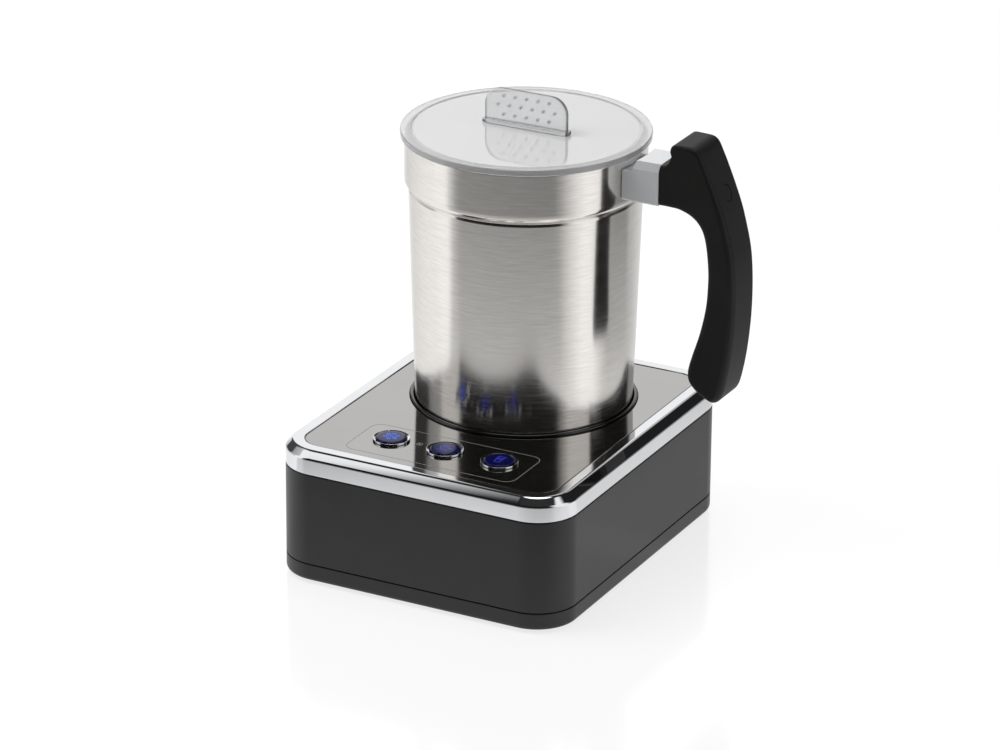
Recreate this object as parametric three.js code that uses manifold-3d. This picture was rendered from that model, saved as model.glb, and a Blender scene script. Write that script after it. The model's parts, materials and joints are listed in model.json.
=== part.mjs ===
// Induction milk frother: a base with three buttons, and a lift-off steel jug with a lid, whisk and handle.
// Units are millimetres, +Z is up, +Y points to the back. The parts are drawn round the centre of the
// base's footprint, and the whole group is then moved so that the origin is the centre of the object's
// own footprint, on the surface that it stands on.
import * as THREE from 'three';
import { mergeVertices } from 'three/addons/utils/BufferGeometryUtils.js';
import Module from 'manifold-3d';

const wasm = await Module();
wasm.setup();

// Overall sizes
const BASE_WIDTH = 143;
const BASE_DEPTH = 171;
const BASE_CORNER = 19.5;
const HANDLE_REACH = 108.2; // from the base's centre to the handle's outermost point
const ORIGIN_SHIFT = (BASE_WIDTH / 2 - HANDLE_REACH) / 2;

// Fits
const GAP = 0.3; // between pieces that touch
const WELD = 1e-4; // distance under which two vertices are the same

// Heights of the base, from the table up
const FOOT_TOP = 2.2;
const COVER_BOTTOM = 1.5;
const COVER_FLOOR = 4.2;
const SEAM = 9.6;
const SEAM_GAP = 0.4;
const HOUSING_TOP = 52.7;
const BAND_BOTTOM = 53;
const BAND_TOP = 60.2;
const FRAME_TOP = 63.8;
const PLATE_TOP = 63.4;
const PLATE_THICKNESS = 2;
const WALL = 2.5;
const FRAME_CHAMFER = 3.4;
const FRAME_INSET = 8.6; // from the base's side to the plate's opening
const FLANGE_INSET = 10;

// Well and jug
const JUG_Y = 21;
const WELL_INNER = 50;
const WELL_OUTER = 51.6;
const WELL_RIM = 64.6;
const WELL_FLOOR = 56;
const WELL_UNDERSIDE = 54;
const JUG_BOTTOM = 56.4;
const JUG_WALL = 1.2;
const JUG_FOOT_RADIUS = 49.35;
const JUG_NECK_RADIUS = 52.4;
const COLLAR_RADIUS = 54.3;
const SHOULDER_BOTTOM = 163;
const SHOULDER_TOP = 167.4;
const JUG_RIM = 188;

// Lid
const LID_RADIUS = 56.2;
const LID_TOP = 190.8;
const LID_UNDERSIDE = 188.4;
const LID_PLUG_RADIUS = 50.6;
const LID_PLUG_DEPTH = 8;
const GRIP_LENGTH = 40.6;
const GRIP_HEIGHT = 207.8;
const GRIP_THICKNESS = 2.6;
const GRIP_CORNER = 8;

// Handle
const HANDLE_WIDTH = 23;
const BRACKET_WIDTH = 24;
const BRACKET_END = 71;
const BRACKET_BOTTOM = 170.2;
const BRACKET_TOP = 188.9;
const BRACKET_CHAMFER = 3.2;
const HANDLE_EDGE = 2.4;
const HANDLE_SCREW_HEIGHT = 178;

// Controls
const BUTTON_Y = -54.3;
const BUTTON_SPACING = 27;
const BUTTON_RADIUS = 6.8;
const BUTTON_RING_INNER = 7.1;
const BUTTON_SLEEVE = 7.6;
const BUTTON_RING_OUTER = 8.4;
const BUTTON_HOLE = 7.9;
const INDICATOR = { x: -13.5, y: -53, radius: 0.8 };

// Drive and heater
const SHAFT_RADIUS = 1.5;
const COIL_INNER = 16.5;
const COIL_OUTER = 37;
const SENSOR = { x: -40, y: 6.5, radius: 4.4 };
const COVER_SCREW = { x: 58, y: 72 };
const FOOT = { x: 50, y: 63, radius: 7 };
const CORD_INLET_HEIGHT = 22;

// Number of flats on round pieces
const ROUND = 48;
const MIDDLING = 20;
const SMALL = 12;
const CORNER_STEPS = 6;

const finish = (color, roughness, metalness) => ({ color, roughness, metalness });
const SATIN_BLACK = finish(0x2f2f30, 0.55, 0);
const SOFT_BLACK = finish(0x242322, 0.6, 0);
const GLOSS_BLACK = finish(0x0c0c0d, 0.2, 0);
const RUBBER = finish(0x1c1c1c, 0.9, 0);
const CHROME = finish(0xdedfe2, 0.08, 1);
const MIRROR_STEEL = finish(0x8d8c8a, 0.12, 1);
const BRUSHED_STEEL = finish(0xc4c0ba, 0.3, 1);
const ZINC = finish(0xa6a8ab, 0.4, 1);
const BLUE_BLACK = finish(0x0a0a46, 0.15, 0);
const CLEAR = finish(0xeef0f2, 0.05, 0);
const SILICONE = finish(0xd9dadb, 0.5, 0);
const COPPER = finish(0xb5652f, 0.35, 1);
const FERRITE = finish(0x303236, 0.7, 0);
const BOARD_GREEN = finish(0x1f5a36, 0.5, 0);
const NYLON = finish(0xd8d6cf, 0.6, 0);
const MAGNET = finish(0x55585c, 0.5, 1);

const frother = new THREE.Group();
frother.position.x = ORIGIN_SHIFT;
const jugAxis = new THREE.Group();
jugAxis.position.y = JUG_Y;
frother.add(jugAxis);

function add(parent, name, geometry, look, x = 0, y = 0, z = 0) {
  const mesh = new THREE.Mesh(geometry, new THREE.MeshStandardMaterial(look));
  mesh.name = name;
  mesh.position.set(x, y, z);
  parent.add(mesh);
  return mesh;
}

function toSolid(geometry) {
  const loose = geometry.index ? geometry.toNonIndexed() : geometry;
  const bare = new THREE.BufferGeometry().setAttribute('position', loose.getAttribute('position'));
  const merged = mergeVertices(bare, WELD);
  const vertProperties = merged.attributes.position.array;
  const triVerts = new Uint32Array(merged.index.array);
  return new wasm.Manifold(new wasm.Mesh({ numProp: 3, vertProperties, triVerts }));
}

function toGeometry(solid) {
  const { vertProperties, triVerts } = solid.getMesh();
  const geometry = new THREE.BufferGeometry();
  geometry.setAttribute('position', new THREE.BufferAttribute(new Float32Array(vertProperties), 3));
  geometry.setIndex(new THREE.BufferAttribute(new Uint32Array(triVerts), 1));
  geometry.computeVertexNormals();
  return geometry;
}

function cut(geometry, ...tools) {
  return toGeometry(tools.reduce((rest, tool) => rest.subtract(toSolid(tool)), toSolid(geometry)));
}

function join(geometry, ...others) {
  return toGeometry(others.reduce((whole, other) => whole.add(toSolid(other)), toSolid(geometry)));
}

// A box given by its lowest and highest corners.
function block([x0, y0, z0], [x1, y1, z1]) {
  const box = new THREE.BoxGeometry(x1 - x0, y1 - y0, z1 - z0);
  return box.translate((x0 + x1) / 2, (y0 + y1) / 2, (z0 + z1) / 2);
}

// An upright cylinder between two heights.
function post(radius, bottom, top, x = 0, y = 0, sides = SMALL) {
  const cylinder = new THREE.CylinderGeometry(radius, radius, top - bottom, sides).rotateX(Math.PI / 2);
  return cylinder.translate(x, y, (bottom + top) / 2);
}

// A body of revolution about Z from [radius, height] points that start and end on the axis.
function turned(profile, sides = ROUND) {
  const points = profile.map(([radius, height]) => new THREE.Vector2(radius, height));
  return new THREE.LatheGeometry(points, sides).rotateX(Math.PI / 2);
}

// A ring of revolution about Z: the profile runs anticlockwise, from the inside bottom outwards.
function turnedRing(profile, sides = ROUND) {
  return turned([...profile, profile[0]], sides);
}

// Points of the base's outline, moved inwards by inset, at one height.
function baseOutline(inset, height) {
  const radius = BASE_CORNER - inset;
  const centreX = BASE_WIDTH / 2 - BASE_CORNER;
  const centreY = BASE_DEPTH / 2 - BASE_CORNER;
  const corners = [[1, 1], [-1, 1], [-1, -1], [1, -1]];
  return corners.flatMap(([sideX, sideY], corner) =>
    Array.from({ length: CORNER_STEPS + 1 }, (_, step) => {
      const angle = ((corner + step / CORNER_STEPS) * Math.PI) / 2;
      const x = sideX * centreX + radius * Math.cos(angle);
      const y = sideY * centreY + radius * Math.sin(angle);
      return [x, y, height];
    }),
  );
}

// A skin through the base's outline at each [inset, height] of a profile that runs up the outside.
// A closed profile makes a ring. An open one is capped at both ends.
function baseSweep(profile, closed) {
  const rings = profile.map(([inset, height]) => baseOutline(inset, height));
  const count = rings[0].length;
  const vertices = rings.flat(2);
  const faces = [];
  const levels = closed ? profile.length : profile.length - 1;
  for (let level = 0; level < levels; level += 1) {
    const lower = level * count;
    const upper = ((level + 1) % profile.length) * count;
    for (let i = 0; i < count; i += 1) {
      const next = (i + 1) % count;
      faces.push(lower + i, lower + next, upper + next, lower + i, upper + next, upper + i);
    }
  }
  if (!closed) {
    const last = (profile.length - 1) * count;
    for (let i = 1; i < count - 1; i += 1) {
      faces.push(0, i + 1, i, last, last + i, last + i + 1);
    }
  }
  const geometry = new THREE.BufferGeometry();
  geometry.setAttribute('position', new THREE.Float32BufferAttribute(vertices, 3));
  geometry.setIndex(faces);
  geometry.computeVertexNormals();
  return geometry;
}

function circle(x, y, radius, sides) {
  const corners = Array.from({ length: sides }, (_, index) => {
    const angle = (2 * Math.PI * index) / sides;
    return new THREE.Vector2(x + radius * Math.cos(angle), y + radius * Math.sin(angle));
  });
  return new THREE.Path(corners);
}

// A shape drawn in the XZ plane and given a thickness in Y, centred on the plane.
function upright(shape, thickness, options = {}) {
  const bevel = options.bevelThickness ?? 0;
  const depth = thickness - 2 * bevel;
  const solid = new THREE.ExtrudeGeometry(shape, { bevelEnabled: bevel > 0, ...options, depth });
  return solid.rotateX(Math.PI / 2).translate(0, depth / 2, 0);
}

const everyCorner = (x, y) => [[x, y], [-x, y], [-x, -y], [x, -y]];

function addFeet() {
  const profile = [
    [0, 0],
    [FOOT.radius - 0.8, 0],
    [FOOT.radius, 0.8],
    [FOOT.radius, FOOT_TOP],
    [0, FOOT_TOP],
  ];
  everyCorner(FOOT.x, FOOT.y).forEach(([x, y], index) => {
    add(frother, `foot_${index + 1}`, turned(profile, MIDDLING), RUBBER, x, y);
  });
}

function addBottomCover() {
  const edge = 2.6;
  const roundSteps = 4;
  const rounded = Array.from({ length: roundSteps + 1 }, (_, step) => {
    const angle = ((step / roundSteps) * Math.PI) / 2;
    return [edge * (1 - Math.sin(angle)), COVER_BOTTOM + edge * (1 - Math.cos(angle))];
  });
  const top = SEAM - SEAM_GAP / 2;
  const tray = baseSweep([...rounded, [0, top], [WALL, top], [WALL, COVER_FLOOR]], false);
  const bosses = everyCorner(COVER_SCREW.x, COVER_SCREW.y).map(([x, y]) => post(5, 3, 9, x, y));
  const bores = everyCorner(COVER_SCREW.x, COVER_SCREW.y).flatMap(([x, y]) => [
    post(1.8, 0, 12, x, y),
    post(3.4, 0, 6, x, y),
  ]);
  const pockets = everyCorner(FOOT.x, FOOT.y).map(([x, y]) =>
    post(FOOT.radius + GAP, 0, FOOT_TOP + GAP, x, y, MIDDLING),
  );
  add(frother, 'bottom_cover', cut(join(tray, ...bosses), ...bores, ...pockets), SATIN_BLACK);
}

function addCoverScrews() {
  const profile = [
    [0, 4],
    [2.6, 4],
    [3, 4.5],
    [3, 5.7],
    [1.4, 5.7],
    [1.4, 20],
    [0, 21],
  ];
  everyCorner(COVER_SCREW.x, COVER_SCREW.y).forEach(([x, y], index) => {
    add(frother, `cover_screw_${index + 1}`, turned(profile, SMALL), ZINC, x, y);
  });
}

function addHousing() {
  const bottom = SEAM + SEAM_GAP / 2;
  const flange = HOUSING_TOP - WALL;
  const shell = baseSweep(
    [[0, bottom], [0, HOUSING_TOP], [FLANGE_INSET, HOUSING_TOP], [FLANGE_INSET, flange], [WALL, flange], [WALL, bottom]],
    true,
  );
  const bosses = everyCorner(COVER_SCREW.x, COVER_SCREW.y).map(([x, y]) => post(4.5, bottom, HOUSING_TOP - 1, x, y));
  const pilots = everyCorner(COVER_SCREW.x, COVER_SCREW.y).map(([x, y]) => post(1.4 + GAP, 0, 22, x, y));
  const inlet = post(6 + GAP, 0, 20, 0, 0, MIDDLING).rotateX(-Math.PI / 2);
  inlet.translate(0, BASE_DEPTH / 2 - 10, CORD_INLET_HEIGHT);
  add(frother, 'base_housing', cut(join(shell, ...bosses), ...pilots, inlet), SATIN_BLACK);
}

// The bush that the mains lead comes out of, in the back wall.
function addCordInlet() {
  const profile = [
    [3.6, -5.2],
    [8.2, -5.2],
    [8.2, -WALL - GAP],
    [6, -WALL - GAP],
    [6, -0.1],
    [4.2, -0.1],
    [3.6, -0.7],
  ];
  const bush = turnedRing(profile, MIDDLING).rotateX(-Math.PI / 2);
  add(frother, 'cord_inlet', bush, RUBBER, 0, BASE_DEPTH / 2, CORD_INLET_HEIGHT);
}

function addFrameAndPlate() {
  const ledgeTop = PLATE_TOP - PLATE_THICKNESS - GAP;
  const ledgeBottom = ledgeTop - 1.9;
  const ledgeInset = FRAME_INSET + 2;
  const frame = baseSweep(
    [
      [0, BAND_BOTTOM],
      [0, BAND_TOP],
      [FRAME_CHAMFER, FRAME_TOP],
      [FRAME_INSET, FRAME_TOP - 0.2],
      [FRAME_INSET, ledgeTop],
      [ledgeInset, ledgeTop],
      [ledgeInset, ledgeBottom],
      [WALL, ledgeBottom],
      [WALL, BAND_BOTTOM],
    ],
    true,
  );
  add(frother, 'chrome_frame', frame, CHROME);

  const inset = FRAME_INSET + GAP;
  const plate = new THREE.Shape(baseOutline(inset, 0).map(([x, y]) => new THREE.Vector2(x, y)));
  plate.holes.push(circle(0, JUG_Y, WELL_OUTER + GAP, ROUND));
  plate.holes.push(circle(INDICATOR.x, INDICATOR.y, INDICATOR.radius + GAP, SMALL));
  for (const side of [-1, 0, 1]) {
    plate.holes.push(circle(side * BUTTON_SPACING, BUTTON_Y, BUTTON_HOLE, MIDDLING));
  }
  const sheet = new THREE.ExtrudeGeometry(plate, { depth: PLATE_THICKNESS, bevelEnabled: false });
  add(frother, 'top_plate', sheet, MIRROR_STEEL, 0, 0, PLATE_TOP - PLATE_THICKNESS);
}

function addWell() {
  const cup = turned([
    [0, WELL_UNDERSIDE],
    [WELL_OUTER, WELL_UNDERSIDE],
    [WELL_OUTER, WELL_RIM - 0.7],
    [WELL_OUTER - 0.25, WELL_RIM - 0.2],
    [WELL_OUTER - 0.8, WELL_RIM],
    [WELL_INNER + 0.25, WELL_RIM - 0.2],
    [WELL_INNER, WELL_RIM - 0.7],
    [WELL_INNER, WELL_FLOOR + 0.8],
    [WELL_INNER - 0.8, WELL_FLOOR],
    [0, WELL_FLOOR],
  ]);
  const sensorHole = post(SENSOR.radius + GAP, 50, 60, SENSOR.x, SENSOR.y - JUG_Y);
  add(jugAxis, 'jug_well', cut(cup, sensorHole), GLOSS_BLACK);

  const gasketTop = PLATE_TOP - PLATE_THICKNESS - GAP;
  const gasket = turnedRing([
    [WELL_OUTER + GAP, gasketTop - 1.3],
    [WELL_OUTER + 1.9, gasketTop - 1.3],
    [WELL_OUTER + 1.9, gasketTop],
    [WELL_OUTER + GAP, gasketTop],
  ]);
  add(jugAxis, 'well_gasket', gasket, SILICONE);

  const sensor = turned(
    [
      [0, 48],
      [2.4, 48],
      [2.4, 52],
      [SENSOR.radius, 52],
      [SENSOR.radius, 55.8],
      [SENSOR.radius - 0.4, 56.1],
      [0, 56.1],
    ],
    SMALL,
  );
  add(frother, 'temperature_sensor', sensor, ZINC, SENSOR.x, SENSOR.y);
}

function addHeater() {
  const coil = turnedRing([[COIL_INNER, 50], [COIL_OUTER, 50], [COIL_OUTER, 53], [COIL_INNER, 53]], MIDDLING);
  add(jugAxis, 'induction_coil', coil, COPPER);
  const carrierInner = COIL_INNER - 1;
  const carrierOuter = COIL_OUTER + 0.5;
  const carrier = turnedRing(
    [[carrierInner, 47.6], [carrierOuter, 47.6], [carrierOuter, 49.7], [carrierInner, 49.7]],
    MIDDLING,
  );
  add(jugAxis, 'coil_carrier', carrier, NYLON);
  for (let index = 0; index < 4; index += 1) {
    const angle = ((index + 0.5) * Math.PI) / 2;
    const bar = add(jugAxis, `ferrite_bar_${index + 1}`, block([17, -4, 44.8], [36, 4, 47.3]), FERRITE);
    bar.rotation.z = angle;
  }
}

function addMotor() {
  const shaftBore = SHAFT_RADIUS + 0.5;
  const body = turned(
    [
      [0, 10],
      [13.4, 10],
      [14, 10.6],
      [14, 39.4],
      [13.4, 40],
      [shaftBore, 40],
      [shaftBore, 20],
      [0, 20],
    ],
    MIDDLING,
  );
  add(jugAxis, 'motor_body', body, ZINC);

  const plate = block([-25, -20, 40.3], [25, 20, 42.5]);
  const posts = everyCorner(21, 16).map(([x, y]) => post(2.8, COVER_FLOOR + GAP, 41, x, y));
  add(jugAxis, 'motor_mount', cut(join(plate, ...posts), post(4, 30, 50)), NYLON);

  add(jugAxis, 'motor_shaft', post(SHAFT_RADIUS, 21, 52.4), ZINC);
  const rotor = turnedRing(
    [[shaftBore, 47.5], [12.6, 47.5], [13.4, 48.3], [13.4, 53.2], [shaftBore, 53.2]],
    MIDDLING,
  );
  add(jugAxis, 'drive_magnet', rotor, MAGNET);
}

function addElectronics() {
  add(frother, 'power_board', block([-52, -68, 9], [52, -26, 10.6]), BOARD_GREEN);
  add(frother, 'transformer', block([-46, -60, 10.9], [-24, -38, 28]), NYLON);
  add(frother, 'capacitor', post(6.5, 10.9, 32, -6, -50, MIDDLING), GLOSS_BLACK);

  const finHeight = 26;
  const fins = [0, 1, 2, 3, 4].map((index) =>
    block([14 + 7 * index, -60, 12], [15.6 + 7 * index, -34, finHeight]),
  );
  add(frother, 'heat_sink', join(block([14, -60, 10.9], [43.6, -34, 13.5]), ...fins), ZINC);

  add(frother, 'control_board', block([-38, -67, 54.6], [38, -42, 56.2]), BOARD_GREEN);
}

function addControls() {
  const switchBase = 56.5;
  const switchTop = 58.5;
  const ring = [
    [BUTTON_RING_INNER, switchTop],
    [BUTTON_SLEEVE, switchTop],
    [BUTTON_SLEEVE, PLATE_TOP + GAP],
    [BUTTON_RING_OUTER - 0.1, PLATE_TOP + GAP],
    [BUTTON_RING_OUTER, PLATE_TOP + 0.7],
    [BUTTON_RING_OUTER - 0.4, PLATE_TOP + 1.3],
    [BUTTON_RING_INNER + 0.3, PLATE_TOP + 1.3],
    [BUTTON_RING_INNER, PLATE_TOP + 0.9],
  ];
  const button = [
    [0, 59.9],
    [1.6, 59.9],
    [1.6, 60.9],
    [BUTTON_RADIUS, 60.9],
    [BUTTON_RADIUS, PLATE_TOP + 0.6],
    [BUTTON_RADIUS - 0.5, PLATE_TOP + 1.1],
    [3, PLATE_TOP + 1.5],
    [0, PLATE_TOP + 1.6],
  ];
  ['cold', 'hot_foam', 'hot_milk'].forEach((name, index) => {
    const x = (index - 1) * BUTTON_SPACING;
    add(frother, `${name}_ring`, turnedRing(ring, MIDDLING), CHROME, x, BUTTON_Y);
    add(frother, `${name}_button`, turned(button, MIDDLING), BLUE_BLACK, x, BUTTON_Y);
    const body = join(block([-3, -3, switchBase], [3, 3, 57.8]), post(1.7, 57, switchTop));
    add(frother, `${name}_switch`, body, GLOSS_BLACK, x, BUTTON_Y);
  });
  const lens = turned(
    [
      [0, PLATE_TOP - PLATE_THICKNESS],
      [INDICATOR.radius, PLATE_TOP - PLATE_THICKNESS],
      [INDICATOR.radius, PLATE_TOP],
      [0, PLATE_TOP + 0.3],
    ],
    SMALL,
  );
  add(frother, 'indicator_lens', lens, CLEAR, INDICATOR.x, INDICATOR.y);
}

function addJug() {
  const outside = [
    [0, JUG_BOTTOM],
    [45.5, JUG_BOTTOM],
    [47.8, JUG_BOTTOM + 0.9],
    [49, JUG_BOTTOM + 2.6],
    [JUG_FOOT_RADIUS, JUG_BOTTOM + 4.8],
    [JUG_NECK_RADIUS, SHOULDER_BOTTOM],
    [JUG_NECK_RADIUS + 0.4, SHOULDER_BOTTOM + 1.2],
    [COLLAR_RADIUS - 0.5, SHOULDER_TOP - 1.4],
    [COLLAR_RADIUS, SHOULDER_TOP],
    [COLLAR_RADIUS, JUG_RIM - 0.7],
    [COLLAR_RADIUS - 0.4, JUG_RIM],
  ];
  const inside = [
    [COLLAR_RADIUS - 0.9, JUG_RIM],
    [COLLAR_RADIUS - JUG_WALL, JUG_RIM - 0.6],
    [COLLAR_RADIUS - JUG_WALL, SHOULDER_TOP + 0.2],
    [JUG_NECK_RADIUS - JUG_WALL + 0.2, SHOULDER_BOTTOM + 1.2],
    [JUG_NECK_RADIUS - JUG_WALL, SHOULDER_BOTTOM],
    [JUG_FOOT_RADIUS - JUG_WALL, JUG_BOTTOM + 5.2],
    [46.9, JUG_BOTTOM + 2.3],
    [45, JUG_BOTTOM + JUG_WALL],
    [0, JUG_BOTTOM + JUG_WALL],
  ];
  add(jugAxis, 'jug_body', turned([...outside, ...inside]), BRUSHED_STEEL);
}

function addWhisk() {
  const floor = JUG_BOTTOM + JUG_WALL;
  const spindle = turned(
    [
      [0, floor + GAP],
      [6, floor + GAP],
      [6, floor + 1.1],
      [SHAFT_RADIUS, floor + 1.9],
      [SHAFT_RADIUS, floor + 17],
      [0.9, floor + 17.8],
      [0, floor + 17.8],
    ],
    MIDDLING,
  );
  add(jugAxis, 'whisk_spindle', spindle, ZINC);

  const bore = SHAFT_RADIUS + 0.5;
  const hubBottom = 60.2;
  const hub = turnedRing(
    [
      [bore, hubBottom],
      [6.2, hubBottom],
      [6.2, 64.4],
      [11.8, 64.4],
      [11.8, hubBottom],
      [13, hubBottom],
      [13, 66],
      [12.2, 67.2],
      [4.4, 67.8],
      [3.6, 72.5],
      [bore, 72.5],
    ],
    MIDDLING,
  );
  add(jugAxis, 'whisk_hub', hub, GLOSS_BLACK);
  const magnet = turnedRing([[6.5, hubBottom], [11.5, hubBottom], [11.5, 64.1], [6.5, 64.1]], MIDDLING);
  add(jugAxis, 'whisk_magnet', magnet, MAGNET);

  const coilRadius = 18;
  const coilHeight = 65;
  const hoop = new THREE.TorusGeometry(coilRadius, 2.4, 8, MIDDLING).translate(0, 0, coilHeight);
  const arms = [0, 1, 2, 3].map((index) =>
    new THREE.CylinderGeometry(0.8, 0.8, 3, 8)
      .rotateZ(Math.PI / 2)
      .translate(13.3 + 1.5, 0, coilHeight)
      .rotateZ(((index + 0.5) * Math.PI) / 2),
  );
  add(jugAxis, 'whisk_spring', join(hoop, ...arms), ZINC);
}

function addLid() {
  const plugBottom = LID_UNDERSIDE - LID_PLUG_DEPTH;
  const plugInner = LID_PLUG_RADIUS - 2;
  const lid = turned([
    [0, LID_UNDERSIDE],
    [plugInner, LID_UNDERSIDE],
    [plugInner, plugBottom],
    [LID_PLUG_RADIUS, plugBottom],
    [LID_PLUG_RADIUS, LID_UNDERSIDE],
    [LID_RADIUS - 0.6, LID_UNDERSIDE],
    [LID_RADIUS, LID_UNDERSIDE + 0.6],
    [LID_RADIUS, LID_TOP - 0.2],
    [LID_RADIUS - 0.8, LID_TOP + 0.5],
    [LID_PLUG_RADIUS + 1, LID_TOP + 0.5],
    [LID_PLUG_RADIUS, LID_TOP],
    [0, LID_TOP],
  ]);
  add(jugAxis, 'lid', lid, CLEAR);

  const sealInner = LID_PLUG_RADIUS + GAP;
  const seal = turnedRing([
    [sealInner, plugBottom + 1.5],
    [sealInner + 1.9, plugBottom + 2.3],
    [sealInner + 1.2, plugBottom + 3],
    [sealInner + 1.9, plugBottom + 4.6],
    [sealInner, plugBottom + 5.4],
  ]);
  add(jugAxis, 'lid_seal', seal, SILICONE);

  const half = GRIP_LENGTH / 2;
  const bottom = LID_TOP + GAP;
  const outline = new THREE.Shape();
  outline.moveTo(-half, bottom);
  outline.lineTo(half, bottom);
  outline.absarc(half - GRIP_CORNER, GRIP_HEIGHT - GRIP_CORNER, GRIP_CORNER, 0, Math.PI / 2);
  outline.absarc(GRIP_CORNER - half, GRIP_HEIGHT - GRIP_CORNER, GRIP_CORNER, Math.PI / 2, Math.PI);
  const foot = block([-half - 1, -2.2, bottom], [half + 1, 2.2, bottom + 1.3]);
  add(jugAxis, 'lid_grip', join(upright(outline, GRIP_THICKNESS), foot), CLEAR);
}

// Chrome block on the collar, cut to the jug's curve and kept clear of the lid's rim.
function addBracket() {
  const section = new THREE.Shape();
  const half = BRACKET_WIDTH / 2;
  const small = 1;
  section.moveTo(-half + small, BRACKET_BOTTOM);
  section.lineTo(half - small, BRACKET_BOTTOM);
  section.lineTo(half, BRACKET_BOTTOM + small);
  section.lineTo(half, BRACKET_TOP - BRACKET_CHAMFER);
  section.lineTo(half - BRACKET_CHAMFER, BRACKET_TOP);
  section.lineTo(BRACKET_CHAMFER - half, BRACKET_TOP);
  section.lineTo(-half, BRACKET_TOP - BRACKET_CHAMFER);
  section.lineTo(-half, BRACKET_BOTTOM + small);
  const start = 40;
  const bar = new THREE.ExtrudeGeometry(section, { depth: BRACKET_END - start, bevelEnabled: false });
  bar.rotateX(Math.PI / 2).rotateZ(Math.PI / 2).translate(start, 0, 0);
  const tang = block([BRACKET_END - 1, -6, 173], [84, 6, 184]);
  const screwBore = post(1.8 + GAP, 0, 30, 0, 0).rotateY(Math.PI / 2);
  screwBore.translate(74, 0, HANDLE_SCREW_HEIGHT);
  const jugCurve = post(COLLAR_RADIUS + GAP, 150, 200, 0, 0, ROUND);
  const lidRoom = post(LID_RADIUS + 3.3, JUG_RIM - 3.5, 200, 0, 0, ROUND);
  add(jugAxis, 'handle_bracket', cut(join(bar, tang), jugCurve, lidRoom, screwBore), CHROME);
}

function handleOutline() {
  const neckStart = BRACKET_END - 10;
  const spline = (points) => points.map(([x, z]) => new THREE.Vector2(x, z));
  const outline = new THREE.Shape();
  outline.moveTo(neckStart, BRACKET_BOTTOM);
  outline.lineTo(BRACKET_END + 3, BRACKET_BOTTOM);
  outline.splineThru(spline([[81, 169.7], [86.8, 167.3], [90.9, 163], [93.2, 156.5], [94.6, 146]]));
  outline.splineThru(spline([[94.8, 137], [94, 126], [91.4, 113.5], [88, 102.5], [86.2, 95.5]]));
  outline.splineThru(spline([[86.6, 90.6], [89.6, 86.6], [94.5, 83.3], [99, 81.9], [102.4, 84.6]]));
  outline.splineThru(spline([[104.6, 92], [106.6, 104], [107.9, 118], [HANDLE_REACH, 132], [107.6, 145]]));
  outline.splineThru(spline([[106.1, 155], [102.6, 168], [98.8, 178], [94.6, 187.6], [89.7, 198]]));
  outline.quadraticCurveTo(88.9, 199.7, 86.6, 199.7);
  outline.lineTo(80, 199.7);
  outline.quadraticCurveTo(76, 199.7, 76, 196.4);
  outline.quadraticCurveTo(76.9, 195.2, 76.6, 194);
  outline.splineThru(spline([[75.2, 191], [73.2, 189.3], [BRACKET_END, BRACKET_TOP]]));
  outline.lineTo(neckStart, BRACKET_TOP);
  return outline;
}

function addHandle() {
  const edge = {
    bevelThickness: HANDLE_EDGE,
    bevelSize: HANDLE_EDGE,
    bevelOffset: -HANDLE_EDGE,
    bevelSegments: 2,
    curveSegments: 2,
  };
  const grip = upright(handleOutline(), HANDLE_WIDTH, edge);
  const beyondNeck = block([0, -50, 100], [BRACKET_END + GAP, 50, 250]);
  const pocket = block([60, -6 - GAP, 173 - GAP], [84 + GAP, 6 + GAP, 184 + GAP]);
  const alongX = (radius, from, to) =>
    post(radius, 0, to - from, 0, 0).rotateY(Math.PI / 2).translate(from, 0, HANDLE_SCREW_HEIGHT);
  const shankBore = alongX(1.8 + GAP, 80, 94);
  const headBore = alongX(3.5 + GAP, 92.2, 120);
  add(jugAxis, 'handle_grip', cut(grip, beyondNeck, pocket, shankBore, headBore), SOFT_BLACK);
  add(jugAxis, 'handle_screw', join(alongX(1.8, 76, 93), alongX(3.3, 92.5, 94.8)), ZINC);

  const plug = new THREE.CylinderGeometry(3.5, 3.5, 2.6, SMALL).rotateZ(Math.PI / 2);
  add(jugAxis, 'handle_plug', plug, SOFT_BLACK, 96.5, 0, HANDLE_SCREW_HEIGHT);
}

addFeet();
addBottomCover();
addCoverScrews();
addHousing();
addCordInlet();
addFrameAndPlate();
addWell();
addHeater();
addMotor();
addElectronics();
addControls();
addJug();
addWhisk();
addLid();
addBracket();
addHandle();

export default frother;
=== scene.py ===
"""Milk frother: the visible surfaces and finishes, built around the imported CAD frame."""
import json
import math

import bmesh
import bpy
from mathutils import Matrix, Vector


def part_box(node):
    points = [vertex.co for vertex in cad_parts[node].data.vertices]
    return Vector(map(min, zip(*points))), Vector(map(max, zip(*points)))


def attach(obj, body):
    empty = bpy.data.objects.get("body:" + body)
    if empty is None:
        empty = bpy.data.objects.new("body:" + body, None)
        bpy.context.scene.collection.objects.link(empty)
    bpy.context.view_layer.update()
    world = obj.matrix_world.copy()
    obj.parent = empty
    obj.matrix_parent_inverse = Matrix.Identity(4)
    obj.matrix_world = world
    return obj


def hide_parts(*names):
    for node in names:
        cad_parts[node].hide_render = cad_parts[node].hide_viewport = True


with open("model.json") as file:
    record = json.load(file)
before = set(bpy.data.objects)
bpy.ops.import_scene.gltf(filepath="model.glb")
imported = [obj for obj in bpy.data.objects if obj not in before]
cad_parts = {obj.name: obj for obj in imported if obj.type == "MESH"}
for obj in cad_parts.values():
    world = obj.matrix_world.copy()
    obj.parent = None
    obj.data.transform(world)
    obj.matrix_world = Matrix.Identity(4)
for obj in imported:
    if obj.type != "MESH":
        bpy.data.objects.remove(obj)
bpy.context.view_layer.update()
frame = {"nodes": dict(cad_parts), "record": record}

# Lengths below are in millimetres until a mesh is made.
MM = 0.001


def span(node):
    low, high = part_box(node)
    return low / MM, high / MM


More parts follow.
